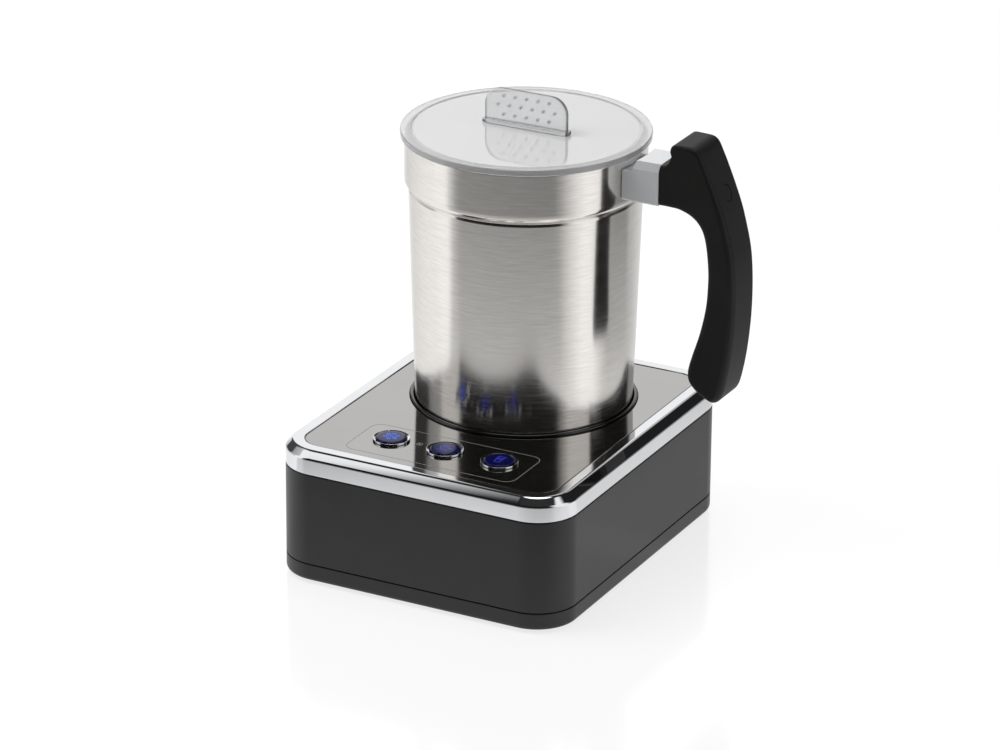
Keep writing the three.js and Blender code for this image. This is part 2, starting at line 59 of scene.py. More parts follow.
def middle(node):
    """The x and y of the middle of a node's box."""
    low, high = span(node)
    return (low[0] + high[0]) / 2, (low[1] + high[1]) / 2


def half_width(node):
    low, high = span(node)
    return (high[0] - low[0]) / 2


# Places and sizes worked out from the frame
ring_low, ring_high = span("chrome_frame")
BASE_X, BASE_Y = middle("chrome_frame")
HALF_X, HALF_Y = (ring_high[0] - ring_low[0]) / 2, (ring_high[1] - ring_low[1]) / 2
BASE_CORNER = 19.5
BAND_BOTTOM, FRAME_TOP = ring_low[2], ring_high[2]
housing_low, housing_high = span("base_housing")
cover_low, cover_high = span("bottom_cover")
plate_low, plate_high = span("top_plate")
PLATE_INSET = plate_low[0] - ring_low[0]
PLATE_TOP = plate_high[2]
well_low, well_high = span("jug_well")
WELL_OUTER = half_width("jug_well")
JUG_X, JUG_Y = middle("jug_well")
jug_low, jug_high = span("jug_body")
COLLAR = half_width("jug_body")
JUG_BOTTOM, JUG_RIM = jug_low[2], jug_high[2]
lid_low, lid_high = span("lid")
LID_RADIUS = half_width("lid")
LID_TOP = lid_high[2] - 0.5
grip_low, grip_high = span("lid_grip")
bracket_low, bracket_high = span("handle_bracket")
handle_high = span("handle_grip")[1]
AXIS = (JUG_X, JUG_Y, 0)
WALL = 2.5
CREASE = math.radians(32)   # a surface that turns by more than this has a sharp edge


# ---------------------------------------------------------------- materials
def wire(tree, kind, inputs=None, **settings):
    """A shader node with its inputs set to numbers or joined to other nodes' outputs."""
    made = tree.nodes.new("ShaderNode" + kind)
    for key, value in settings.items():
        setattr(made, key, value)
    for key, value in (inputs or {}).items():
        if isinstance(value, bpy.types.NodeSocket):
            tree.links.new(value, made.inputs[key])
        else:
            made.inputs[key].default_value = value
    return made


def math_node(tree, operation, *values, clamp=False):
    return wire(tree, "Math", dict(enumerate(values)), operation=operation, use_clamp=clamp).outputs[0]


def ramp(tree, value, *stops):
    """Colour by value: each stop is (place, grey or colour)."""
    made = wire(tree, "ValToRGB", {0: value})
    elements = made.color_ramp.elements
    while len(elements) < len(stops):
        elements.new(0.5)
    for element, (place, colour) in zip(elements, stops):
        element.position = place
        grey = isinstance(colour, (int, float))
        element.color = (colour, colour, colour, 1) if grey else (*colour, 1)
    return made.outputs[0]


def noise(tree, scale, detail=3.0, roughness=0.55):
    """Noise in the object's own metres, scaled separately along x, y and z."""
    place = wire(tree, "TexCoord").outputs["Object"]
    scaled = wire(tree, "Mapping", {"Vector": place, "Scale": scale}).outputs[0]
    settings = {"Vector": scaled, "Scale": 1.0, "Detail": detail, "Roughness": roughness}
    return wire(tree, "TexNoise", settings).outputs[0]


def scaled(colour, factor):
    return tuple(min(1.0, c * factor) for c in colour)


def finish(name, colour, roughness, metallic=0.0, spread=0.08, patch=60.0, grain=2500.0, bump=0.1,
           depth=0.05, sharp_roughness=0.04, **sockets):
    """A surface with soft colour patches, a fine grain in its roughness and bump, and constants."""
    material = bpy.data.materials.new(name)
    material.use_nodes = True
    tree = material.node_tree
    shader = tree.nodes["Principled BSDF"]
    grain = grain if isinstance(grain, tuple) else (grain,) * 3
    patch = patch if isinstance(patch, tuple) else (patch,) * 3
    patches = noise(tree, patch, 2.0)
    fine = noise(tree, grain)
    tone = ramp(tree, patches, (0.3, scaled(colour, 1 - spread)), (0.7, scaled(colour, 1 + spread)))
    tree.links.new(tone, shader.inputs["Base Color"])
    limits = {"Value": fine, "From Min": 0.3, "From Max": 0.7,
              "To Min": max(0.0, roughness - sharp_roughness), "To Max": roughness + sharp_roughness}
    tree.links.new(wire(tree, "MapRange", limits).outputs[0], shader.inputs["Roughness"])
    if bump:
        relief = wire(tree, "Bump", {"Strength": bump, "Distance": depth * MM, "Height": fine})
        tree.links.new(relief.outputs[0], shader.inputs["Normal"])
    shader.inputs["Metallic"].default_value = metallic
    for key, value in sockets.items():
        shader.inputs[key.replace("_", " ")].default_value = value
    return material


def brushed(name, colour, roughness, anisotropy):
    """Steel ground round its axis: fine level lines, soft bands, and highlights drawn out upwards."""
    material = finish(name, colour, roughness, 1.0, spread=0.0)
    tree = material.node_tree
    shader = tree.nodes["Principled BSDF"]
    lines = noise(tree, (90.0, 90.0, 1900.0), 4.0, 0.7)
    bands = noise(tree, (4.0, 4.0, 260.0), 2.0)
    fine_part = math_node(tree, "MULTIPLY", lines, 0.97)
    soft_part = math_node(tree, "MULTIPLY", bands, 0.03)
    both = math_node(tree, "ADD", fine_part, soft_part)
    tone = ramp(tree, both, (0.34, scaled(colour, 0.9)), (0.66, scaled(colour, 1.06)))
    tree.links.new(tone, shader.inputs["Base Color"])
    limits = {"Value": both, "From Min": 0.3, "From Max": 0.7,
              "To Min": roughness - 0.04, "To Max": roughness + 0.05}
    tree.links.new(wire(tree, "MapRange", limits).outputs[0], shader.inputs["Roughness"])
    relief = wire(tree, "Bump", {"Strength": 0.2, "Distance": 0.01 * MM, "Height": lines})
    tree.links.new(relief.outputs[0], shader.inputs["Normal"])
    around = wire(tree, "Tangent", direction_type="RADIAL", axis="Z").outputs[0]
    tree.links.new(around, shader.inputs["Tangent"])
    shader.inputs["Anisotropic"].default_value = anisotropy
    shader.inputs["Anisotropic Rotation"].default_value = 0.25
    return material


def clear_with_painted_brightness(name, colour, roughness, steps, **sockets):
    """Clear plastic whose clarity goes by the distance from the piece's axis, in units of 100 mm. Where it is
    less clear, its white diffuse share is painted brightness that stands in for the light seen through it.
    """
    material = finish(name, colour, roughness, spread=0.005, bump=0, sharp_roughness=0.01, **sockets)
    tree = material.node_tree
    spot = wire(tree, "TexCoord").outputs["Object"]
    flat = wire(tree, "VectorMath", {0: spot, 1: (10.0, 10.0, 0.0)}, operation="MULTIPLY")
    out = wire(tree, "VectorMath", {0: flat.outputs[0]}, operation="LENGTH").outputs["Value"]
    tree.links.new(ramp(tree, out, *steps), tree.nodes["Principled BSDF"].inputs["Transmission Weight"])
    return material


def glow(name, colour, strength):
    material = finish(name, scaled(colour, 0.3), 0.2, spread=0.15, patch=900.0, bump=0)
    shader = material.node_tree.nodes["Principled BSDF"]
    shader.inputs["Emission Color"].default_value = (*colour, 1)
    shader.inputs["Emission Strength"].default_value = strength
    return material


CLEAR = dict(IOR=1.49, Transmission_Weight=0.86)
# How clear the lid is: whiter inside the plug's radius, where its white diffuse share is painted brightness
# standing in for the lit inside of the jug seen through it, and clearer at the rim
LID_PAINTED_BRIGHTNESS = ((0.5, 0.2), (0.52, 0.66))
LOOKS = {
    "housing_black": finish("housing_black", (0.0135, 0.0135, 0.014), 0.36, spread=0.12, grain=2200.0,
                            bump=0.22, depth=0.04),
    "handle_black": finish("handle_black", (0.009, 0.0084, 0.008), 0.5, spread=0.15, grain=3000.0,
                           bump=0.2, depth=0.03, Specular_IOR_Level=0.32),
    "gloss_black": finish("gloss_black", (0.008, 0.008, 0.009), 0.1, bump=0.03, Coat_Weight=0.4,
                          Coat_Roughness=0.05),
    "rubber": finish("rubber", (0.018, 0.018, 0.018), 0.75, spread=0.2, grain=1500.0, bump=0.35, depth=0.08),
    "silicone": finish("silicone", (0.66, 0.66, 0.65), 0.45, spread=0.04, bump=0.1,
                       Subsurface_Weight=0.2, Subsurface_Scale=0.003),
    "bracket_steel": finish("bracket_steel", (0.88, 0.9, 0.925), 0.1, 0.35, spread=0.015, bump=0.0,
                            sharp_roughness=0.04),
    "chrome": finish("chrome", (0.83, 0.84, 0.86), 0.035, 1.0, spread=0.015, bump=0.0, sharp_roughness=0.01),
    "plate_steel": finish("plate_steel", (0.435, 0.43, 0.42), 0.04, 1.0, spread=0.02, patch=35.0,
                          grain=1200.0, bump=0.0, sharp_roughness=0.012),
    "jug_steel": brushed("jug_steel", (0.84, 0.815, 0.775), 0.16, 0.75),
    "zinc": finish("zinc", (0.42, 0.42, 0.44), 0.32, 1.0, spread=0.12, patch=400.0, bump=0.15),
    "copper": finish("copper", (0.62, 0.27, 0.13), 0.28, 1.0, spread=0.15,
                     patch=(900.0, 900.0, 90.0), bump=0.5, depth=0.15),
    "ferrite": finish("ferrite", (0.045, 0.045, 0.05), 0.55, spread=0.25, grain=1800.0, bump=0.5, depth=0.08),
    "magnet": finish("magnet", (0.12, 0.12, 0.13), 0.42, 0.6, spread=0.2, grain=1800.0, bump=0.3),
    "board": finish("board", (0.025, 0.12, 0.045), 0.3, spread=0.35, patch=(260.0, 900.0, 900.0),
                    bump=0.2, Coat_Weight=0.3),
    "nylon": finish("nylon", (0.62, 0.6, 0.54), 0.42, spread=0.06, bump=0.15,
                    Subsurface_Weight=0.15, Subsurface_Scale=0.002),
    "button_blue": finish("button_blue", (0.003, 0.004, 0.045), 0.12, spread=0.3, patch=260.0, bump=0.02,
                          Specular_IOR_Level=0.35, Emission_Color=(0.04, 0.05, 1.0, 1),
                          Emission_Strength=0.014),
    "clear_plastic": finish("clear_plastic", (0.965, 0.97, 0.975), 0.02, spread=0.005, bump=0.01,
                            sharp_roughness=0.01, **CLEAR),
}
ICON_BRIGHT = glow("icon_bright", (0.05, 0.17, 1.0), 0.5)
ICON_SOFT = glow("icon_soft", (0.08, 0.1, 1.0), 0.18)
# Lid material: inside the plug's radius its white diffuse share is painted brightness for the lit jug inside
LID_CLEAR_PAINTED_BRIGHT = clear_with_painted_brightness("lid_clear_painted_bright", (0.97, 0.97, 0.98), 0.02, LID_PAINTED_BRIGHTNESS, IOR=1.49, Coat_Weight=0.8)
PRINT = finish("panel_print", (0.3, 0.29, 0.27), 0.45, spread=0.2, patch=500.0, bump=0)

for part in frame["record"]["subparts"]:
    node = frame["nodes"][part["node"]]
    node.data.materials.clear()
    node.data.materials.append(LOOKS[part["material_slot"]])


# ---------------------------------------------------------------- mesh tools
def rounded(points, steps=4):
    """A profile whose corners are rounded. Each point is (a, b) or (a, b, cut back on each side)."""
    out = []
    for index, point in enumerate(points):
        if len(point) == 2 or not point[2]:
            out.append((point[0], point[1]))
            continue
        here = Vector(point[:2])
        before = Vector(points[index - 1][:2])
        after = Vector(points[(index + 1) % len(points)][:2])
        start = here + (before - here).normalized() * point[2]
        end = here + (after - here).normalized() * point[2]
        for step in range(steps + 1):
            t = step / steps
            spot = start * (1 - t) ** 2 + here * (2 * t * (1 - t)) + end * t * t
            out.append((spot.x, spot.y))
    return out


def circle(radius, sides, centre=(0, 0)):
    turn = [2 * math.pi * k / sides for k in range(sides)]
    return [(centre[0] + radius * math.cos(a), centre[1] + radius * math.sin(a)) for a in turn]


def lathe(bm, profile, sides=64, closed=False, centre=(0, 0)):
    """A surface of revolution through (radius, height) points."""
    rows = []
    for radius, height in profile:
        if radius < 1e-6:
            rows.append([bm.verts.new((centre[0] * MM, centre[1] * MM, height * MM))])
            continue
        rows.append([bm.verts.new((x * MM, y * MM, height * MM)) for x, y in circle(radius, sides, centre)])
    skin(bm, rows, closed)


def drill(bm, radius, low, high, sides, centre=(0, 0)):
    """A plain upright cylinder, for cutting holes."""
    lathe(bm, [(0, low), (radius, low), (radius, high), (0, high)], sides, centre=centre)


def skin(bm, rows, closed):
    """Faces between neighbouring rows of points, each a loop or one pole."""
    pairs = list(zip(rows, rows[1:])) + ([(rows[-1], rows[0])] if closed else [])
    for a, b in pairs:
        count = max(len(a), len(b))
        for k in range(count):
            n = (k + 1) % count
            if len(a) == 1 and len(b) == 1:
                continue
            if len(a) == 1:
                bm.faces.new((a[0], b[n], b[k]))
            elif len(b) == 1:
                bm.faces.new((a[k], a[n], b[0]))
            else:
                bm.faces.new((a[k], a[n], b[n], b[k]))


def rectangle(half_x, half_y, radius, steps=12):
    """The outline of a rectangle with round corners, about (0, 0)."""
    out = []
    for corner, (sx, sy) in enumerate(((1, 1), (-1, 1), (-1, -1), (1, -1))):
        for step in range(steps + 1):
            angle = (corner + step / steps) * math.pi / 2
            x = sx * (half_x - radius) + radius * math.cos(angle)
            y = sy * (half_y - radius) + radius * math.sin(angle)
            out.append((x, y))
    return out


def sweep(bm, profile, closed):
    """A skin round the base's outline through (inset, height) points."""
    rows = []
    for inset, height in profile:
        outline = rectangle(HALF_X - inset, HALF_Y - inset, BASE_CORNER - inset, 28)
        rows.append([bm.verts.new((x * MM, y * MM, height * MM)) for x, y in outline])
    skin(bm, rows, closed)
    if not closed:
        bm.faces.new(rows[0])
        bm.faces.new(rows[-1])


def prism(bm, outline, low, high):
    rows = [[bm.verts.new((x * MM, y * MM, z * MM)) for x, y in outline] for z in (low, high)]
    skin(bm, rows, False)
    bm.faces.new(rows[0])
    bm.faces.new(rows[1])


def stroke(bm, points, width, low, high, closed=False):
    """A flat drawn line as a thin solid."""
    points = [Vector(p) for p in points]
    count = len(points)
    sides = []
    for k, point in enumerate(points):
        before = points[k - 1] if closed or k else point
        after = points[(k + 1) % count] if closed or k < count - 1 else point
        a = (point - before).normalized() if (point - before).length else None
        b = (after - point).normalized() if (after - point).length else None
        along = ((a or b) + (b or a)).normalized()
        across = Vector((-along.y, along.x))
        stretch = 1 / max(0.4, along.dot(b or a))
        sides.append((point + across * width / 2 * stretch, point - across * width / 2 * stretch))
    rings = []
    for left, right in sides:
        corners = ((left, low), (right, low), (right, high), (left, high))
        rings.append([bm.verts.new((p.x * MM, p.y * MM, z * MM)) for p, z in corners])
    skin(bm, rings, closed)
    if not closed:
        bm.faces.new(rings[0])
        bm.faces.new(rings[-1])


def tube(bm, points, radius, sides=6, closed=False):
    """A round wire through points in space."""
    points = [Vector(p) for p in points]
    count = len(points)
    rows, up = [], None
    for k, point in enumerate(points):
        before = points[k - 1] if closed or k else point
        after = points[(k + 1) % count] if closed or k < count - 1 else point
        along = (after - before).normalized()
        up = along.orthogonal() if up is None else up - along * up.dot(along)
        up.normalize()
        across = along.cross(up)
        turn = [2 * math.pi * s / sides for s in range(sides)]
        spots = [point + (up * math.cos(a) + across * math.sin(a)) * radius for a in turn]
        rows.append([bm.verts.new(spot * MM) for spot in spots])
    skin(bm, rows, closed)
    if not closed:
        bm.faces.new(rows[0])
        bm.faces.new(rows[-1])


def dress(mesh, material):
    """Material, outward normals, smooth faces, and sharp edges where the surface turns."""
    bm = bmesh.new()
    bm.from_mesh(mesh)
    bmesh.ops.remove_doubles(bm, verts=bm.verts, dist=1e-7)
    bmesh.ops.recalc_face_normals(bm, faces=bm.faces)
    for face in bm.faces:
        face.smooth = True
    for edge in bm.edges:
        edge.smooth = not edge.is_manifold or edge.calc_face_angle(0.0) < CREASE
    bm.to_mesh(mesh)
    bm.free()
    mesh.materials.clear()
    mesh.materials.append(material)


def make(name, build, material, at=(0, 0, 0)):
    bm = bmesh.new()
    build(bm)
    mesh = bpy.data.meshes.new(name)
    bm.to_mesh(mesh)
    bm.free()
    dress(mesh, material)
    made = bpy.data.objects.new(name, mesh)
    made.location = Vector(at) * MM
    bpy.context.scene.collection.objects.link(made)
    return made


def apply(made):
    """The modifiers become part of the mesh."""
    bpy.context.view_layer.update()
    graph = bpy.context.evaluated_depsgraph_get()
    mesh = bpy.data.meshes.new_from_object(made.evaluated_get(graph))
    material = made.data.materials[0]
    made.modifiers.clear()
    made.data = mesh
    dress(mesh, material)


def carve(made, build, operation="DIFFERENCE"):
    """Cuts the solid drawn by build, in the piece's own space, out of the piece."""
    cutter = make("cutter", build, made.data.materials[0])
    cutter.location = made.location
    modifier = made.modifiers.new("cut", "BOOLEAN")
    modifier.operation = operation
    modifier.solver = "EXACT"
    modifier.object = cutter
    apply(made)
    bpy.data.objects.remove(cutter)


def soften(made, width, segments=2, angle=35):
    """Rounds the piece's sharp edges."""
    modifier = made.modifiers.new("edge", "BEVEL")
    modifier.width = width * MM
    modifier.segments = segments
    modifier.limit_method = "ANGLE"
    modifier.angle_limit = math.radians(angle)
    apply(made)


def place(made, body, slot, *nodes):
    """Puts a piece on its body. Normals weighted by area keep flat faces flat right up to their edges."""
    made.modifiers.new("normals", "WEIGHTED_NORMAL").keep_sharp = True
    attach(made, body)
    if nodes:
        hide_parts(*nodes)
    return made


def turned(name, body, slot, profile, at, sides=64, closed=False, nodes=None, material=None):
    made = make(name, lambda bm: lathe(bm, profile, sides, closed), material or LOOKS[slot], at)
    return place(made, body, slot, *(nodes or []))


# ---------------------------------------------------------------- base
BASE_AT = (BASE_X, BASE_Y, 0)
four = [(sx, sy) for sx in (-1, 1) for sy in (-1, 1)]
FOOT_X, FOOT_Y = abs(middle("foot_1")[0] - BASE_X), abs(middle("foot_1")[1] - BASE_Y)
FOOT_RADIUS, FOOT_TOP = half_width("foot_1"), span("foot_1")[1][2]
SCREW_X, SCREW_Y = abs(middle("cover_screw_1")[0] - BASE_X), abs(middle("cover_screw_1")[1] - BASE_Y)
SCREW_WELL, SCREW_DEPTH = 3.4, 6

for index in range(1, 5):
    top = span(f"foot_{index}")[1][2]
    profile = rounded([(0, 0), (FOOT_RADIUS, 0, 0.8), (FOOT_RADIUS, top), (0, top)])
    profile[1:1] = [(4.4, 0), (4.2, 0.35), (3.4, 0.35), (3.2, 0)]
    spot = (*middle(f"foot_{index}"), 0)
    turned(f"rubber_foot_{index}", "base", "rubber", profile, spot, 48, nodes=[f"foot_{index}"])


def cover_shape(bm):
    bottom, top = cover_low[2], cover_high[2]
    sweep(bm, rounded([(2.2, bottom), (0, bottom, 2.1), (0, top, 0.35), (WALL, top), (WALL, 4.2)], 6), False)


def cover_holes(bm):
    for sx, sy in four:
        drill(bm, FOOT_RADIUS + 0.3, -1, FOOT_TOP + 0.3, 48, (sx * FOOT_X, sy * FOOT_Y))
        drill(bm, SCREW_WELL, -1, SCREW_DEPTH, 32, (sx * SCREW_X, sy * SCREW_Y))


cover = make("cover_shell", cover_shape, LOOKS["housing_black"], BASE_AT)
carve(cover, cover_holes)
place(cover, "base", "housing_black", "bottom_cover")

inlet_low, inlet_high = span("cord_inlet")
INLET_Z = (inlet_low[2] + inlet_high[2]) / 2


def housing_shape(bm):
    low, high = housing_low[2], housing_high[2]
    inner = 10.0
    profile = rounded([
        (0, low, 0.35), (0, high, 0.5), (inner, high), (inner, high - WALL), (WALL, high - WALL),
        (WALL, low)])
    sweep(bm, profile, True)


def inlet_hole(bm):
    drill(bm, 6.3, -8, 8, 48)
    shift = Matrix.Translation((0, HALF_Y * MM, INLET_Z * MM))
    bmesh.ops.transform(bm, verts=bm.verts, matrix=shift @ Matrix.Rotation(math.pi / 2, 4, "X"))


housing = make("housing_shell", housing_shape, LOOKS["housing_black"], BASE_AT)
carve(housing, inlet_hole)
place(housing, "base", "housing_black", "base_housing")


def bush_shape(bm):
    profile = rounded([(3.6, -5.2), (8.2, -5.2), (8.2, -2.8), (6, -2.8), (6, -0.1, 0.3), (3.6, -0.1, 0.7)])
    lathe(bm, profile, 48, True)
    bmesh.ops.rotate(bm, verts=bm.verts, cent=(0, 0, 0), matrix=Matrix.Rotation(-math.pi / 2, 3, "X"))


bush = make("cord_bush", bush_shape, LOOKS["rubber"], (BASE_X, BASE_Y + HALF_Y, INLET_Z))
place(bush, "base", "rubber", "cord_inlet")

# The frame's inner flange, which the plate lies on
FLANGE_TOP, FLANGE_BOTTOM = 61.1, 59.2
frame_profile = rounded([
    (0, BAND_BOTTOM, 0.3), (0, BAND_BOTTOM + 7.2, 0.7), (3.4, FRAME_TOP, 1.0), (8.5, FRAME_TOP - 0.15, 0.35),
    (8.6, FLANGE_TOP), (10.6, FLANGE_TOP), (10.6, FLANGE_BOTTOM), (WALL, FLANGE_BOTTOM),
    (WALL, BAND_BOTTOM)], 5)
frame_piece = make("frame_ring", lambda bm: sweep(bm, frame_profile, True), LOOKS["chrome"], BASE_AT)
place(frame_piece, "base", "chrome", "chrome_frame")

keys = ["cold", "hot_foam", "hot_milk"]
KEY_AT = [middle(f"{key}_button") for key in keys]
LENS_AT = middle("indicator_lens")
KEY_RADIUS, KEY_TOP = half_width("cold_button"), span("cold_button")[1][2]
RING_RADIUS = half_width("cold_ring")


def plate_holes(bm):
    def bore(spot, radius, sides):
        outline = circle(radius, sides, (spot[0] - BASE_X, spot[1] - BASE_Y))
        prism(bm, outline, PLATE_TOP - 5, PLATE_TOP + 5)
    bore((JUG_X, JUG_Y), WELL_OUTER + 0.3, 128)
    bore(LENS_AT, 1.1, 24)
    for spot in KEY_AT:
        bore(spot, KEY_RADIUS + 1.1, 64)


plate_outline = rectangle(HALF_X - PLATE_INSET, HALF_Y - PLATE_INSET, BASE_CORNER - PLATE_INSET, 28)
plate = make("plate_sheet", lambda bm: prism(bm, plate_outline, plate_low[2], PLATE_TOP),
             LOOKS["plate_steel"], BASE_AT)
carve(plate, plate_holes)
soften(plate, 0.2)
place(plate, "base", "plate_steel", "top_plate")

# Thin printed line round the three buttons
PANEL_FRONT, PANEL_BACK = -72.0, -41.0
PANEL_Y = (PANEL_FRONT + PANEL_BACK) / 2
panel_outline = rectangle(42.0, 15.5, 5.0, 8)
panel = make("panel_line", lambda bm: stroke(bm, panel_outline, 0.32, -0.02, 0.02, True), PRINT,
             (BASE_X, BASE_Y + PANEL_Y, PLATE_TOP + 0.01))
place(panel, "base", "plate_steel")

rim = well_high[2]
WELL_RADIUS, WELL_FLOOR = 50, 56
well_profile = rounded([
    (0, well_low[2]), (WELL_OUTER, well_low[2]), (WELL_OUTER, rim, 0.9), (WELL_RADIUS, rim - 0.1, 0.5),
    (WELL_RADIUS, WELL_FLOOR, 1.5), (0, WELL_FLOOR)], 6)
SENSOR_AT = (middle("temperature_sensor")[0] - JUG_X, middle("temperature_sensor")[1] - JUG_Y)
well = make("well_cup", lambda bm: lathe(bm, well_profile, 128), LOOKS["gloss_black"], AXIS)
carve(well, lambda bm: drill(bm, 4.7, 50, 60, 32, SENSOR_AT))
place(well, "base", "gloss_black", "jug_well")

# ---------------------------------------------------------------- buttons
BEZEL_INNER, BEZEL_SLEEVE, BEZEL_BOTTOM = KEY_RADIUS + 0.3, KEY_RADIUS + 0.8, 58.5
STEM_RADIUS, STEM_BOTTOM, CAP_BOTTOM = 1.6, 59.9, 60.9
bezel = rounded([
    (BEZEL_INNER, BEZEL_BOTTOM), (BEZEL_SLEEVE, BEZEL_BOTTOM), (BEZEL_SLEEVE, PLATE_TOP + 0.2),
    (RING_RADIUS, PLATE_TOP + 0.2, 0.1), (RING_RADIUS, PLATE_TOP + 1.2, 0.3),
    (BEZEL_INNER, PLATE_TOP + 0.7, 0.1)], 6)
stem = [(0, STEM_BOTTOM), (STEM_RADIUS, STEM_BOTTOM), (STEM_RADIUS, CAP_BOTTOM)]
cap_side = rounded([
    (KEY_RADIUS, CAP_BOTTOM), (KEY_RADIUS, KEY_TOP - 0.25, 0.6), (KEY_RADIUS * 0.85, KEY_TOP - 0.12)], 5)[:-1]
dome = [(KEY_RADIUS * 0.97 * k / 6, KEY_TOP - 0.15 * (k / 6) ** 2) for k in range(6)]
for key, spot in zip(keys, KEY_AT):
    turned(f"{key}_bezel", "base", "chrome", bezel, (*spot, 0), 80, True, [f"{key}_ring"])
    turned(f"{key}_cap", f"{key}_key", "button_blue", stem + cap_side + dome[::-1], (*spot, 0), 64,
           nodes=[f"{key}_button"])


def arc(x, y, radius, start, end, steps=10):
    angles = [math.radians(start + (end - start) * k / steps) for k in range(steps + 1)]
    return [(x + radius * math.cos(a), y + radius * math.sin(a)) for a in angles]


def snowflake():
    lines = []
    for k in range(6):
        turn = k * math.pi / 3 + math.pi / 6
        out = Vector((math.cos(turn), math.sin(turn)))
        across = Vector((-out.y, out.x))
        lines.append([(0, 0), tuple(out * 3.7)])
        for reach, wing in ((1.7, 0.9), (2.7, 0.8)):
            tip = out * (reach + wing)
            lines.append([tuple(tip + across * wing), tuple(out * reach), tuple(tip - across * wing)])
    return lines


def cup():
    bowl = [(-2.2, 0.7), (2.0, 0.7), (1.9, -0.5), (1.2, -1.6), (0.5, -2.0), (-0.7, -2.0), (-1.4, -1.6),
            (-2.1, -0.5), (-2.2, 0.7)]
    handle = arc(2.3, -0.3, 0.85, 110, -110)
    saucer = [(-3.0, -2.8), (2.8, -2.8)]
    steam = [[(x + 0.25 * math.sin(h * 3.2), 1.3 + h) for h in (0, 0.5, 1.0, 1.5, 2.0)]
             for x in (-1.1, 0.0, 1.1)]
    return [bowl, handle, saucer, *steam]


def glass():
    body = [(-1.7, 3.0), (-1.15, -2.9), (1.15, -2.9), (1.7, 3.0)]
    levels = [[(-1.55, 1.5), (1.55, 1.5)], [(-1.45, 0.6), (1.45, 0.6)], [(-1.38, -0.3), (1.38, -0.3)]]
    return [[*body, body[0]], *levels]


SYMBOLS = (snowflake(), cup(), glass())
for key, spot, lines, light in zip(keys, KEY_AT, SYMBOLS, (ICON_BRIGHT, ICON_SOFT, ICON_SOFT)):
    def draw(bm, lines=lines):
        for line in lines:
            stroke(bm, line, 0.5, KEY_TOP - 0.4, KEY_TOP + 0.02)
    place(make(f"{key}_symbol", draw, light, (*spot, 0)), f"{key}_key", "button_blue")

lens = [(0, 61.5), (0.8, 61.5), (0.8, PLATE_TOP - 0.05), (0.6, PLATE_TOP + 0.15), (0.3, PLATE_TOP + 0.25),
        (0, PLATE_TOP + 0.28)]
turned("indicator_dome", "base", "clear_plastic", lens, (*LENS_AT, 0), 24, nodes=["indicator_lens"])
lens_line = [(1.25, PLATE_TOP - 0.02), (1.5, PLATE_TOP - 0.02), (1.5, PLATE_TOP + 0.03),
             (1.25, PLATE_TOP + 0.03)]
turned("indicator_line", "base", "plate_steel", lens_line, (*LENS_AT, 0), 32, True, material=PRINT)

# ---------------------------------------------------------------- jug
FOOT_R, NECK_R, SHOULDER = 49.35, 52.4, 163.0
outside = rounded([
    (0, JUG_BOTTOM + 0.5), (30, JUG_BOTTOM + 0.5, 2), (33, JUG_BOTTOM, 1), (45.5, JUG_BOTTOM, 1.5),
    (FOOT_R - 0.15, JUG_BOTTOM + 1.6, 1.6), (FOOT_R, JUG_BOTTOM + 5), (NECK_R, SHOULDER + 0.4, 0.2),
    (NECK_R - 0.5, SHOULDER + 1.6, 0.15), (COLLAR - 0.25, SHOULDER + 3.9, 0.9), (COLLAR, SHOULDER + 5.4, 0.9),
    (COLLAR, JUG_RIM - 0.1, 0.5), (COLLAR - 1.2, JUG_RIM - 0.1, 0.4)], 6)
inside = rounded([
    (COLLAR - 1.2, SHOULDER + 6, 1), (NECK_R - 1.3, SHOULDER + 3.2, 0.8), (FOOT_R - 1.2, JUG_BOTTOM + 5.2),
    (FOOT_R - 1.7, JUG_BOTTOM + 1.2, 2), (36, JUG_BOTTOM + 1.2), (0, JUG_BOTTOM + 1.2)], 6)
turned("jug_shell", "jug", "jug_steel", outside + inside, AXIS, 180, nodes=["jug_body"])

# ---------------------------------------------------------------- lid
PLUG = 50.6
UNDER = lid_low[2] + 8.0
disc = rounded([
    (0, UNDER), (PLUG - 2, UNDER, 0.6), (PLUG - 2, lid_low[2], 0.3), (PLUG, lid_low[2], 0.3),
    (PLUG, UNDER, 0.5), (LID_RADIUS, UNDER, 0.5), (LID_RADIUS, LID_TOP + 0.45, 0.7),
    (LID_RADIUS - 4.6, LID_TOP + 0.5, 0.5),
    (LID_RADIUS - 5.2, LID_TOP, 0.4), (0, LID_TOP)], 5)
turned("lid_disc", "lid", "clear_plastic", disc, AXIS, 180, nodes=["lid"], material=LID_CLEAR_PAINTED_BRIGHT)
seal_z = span("lid_seal")[0][2]
gasket = rounded([
    (PLUG + 0.3, seal_z), (PLUG + 2.2, seal_z + 0.8, 0.3), (PLUG + 1.4, seal_z + 1.5, 0.3),
    (PLUG + 2.2, seal_z + 3.1, 0.3), (PLUG + 0.3, seal_z + 3.9)], 4)
turned("lid_gasket", "lid", "silicone", gasket, AXIS, 128, True, ["lid_seal"])


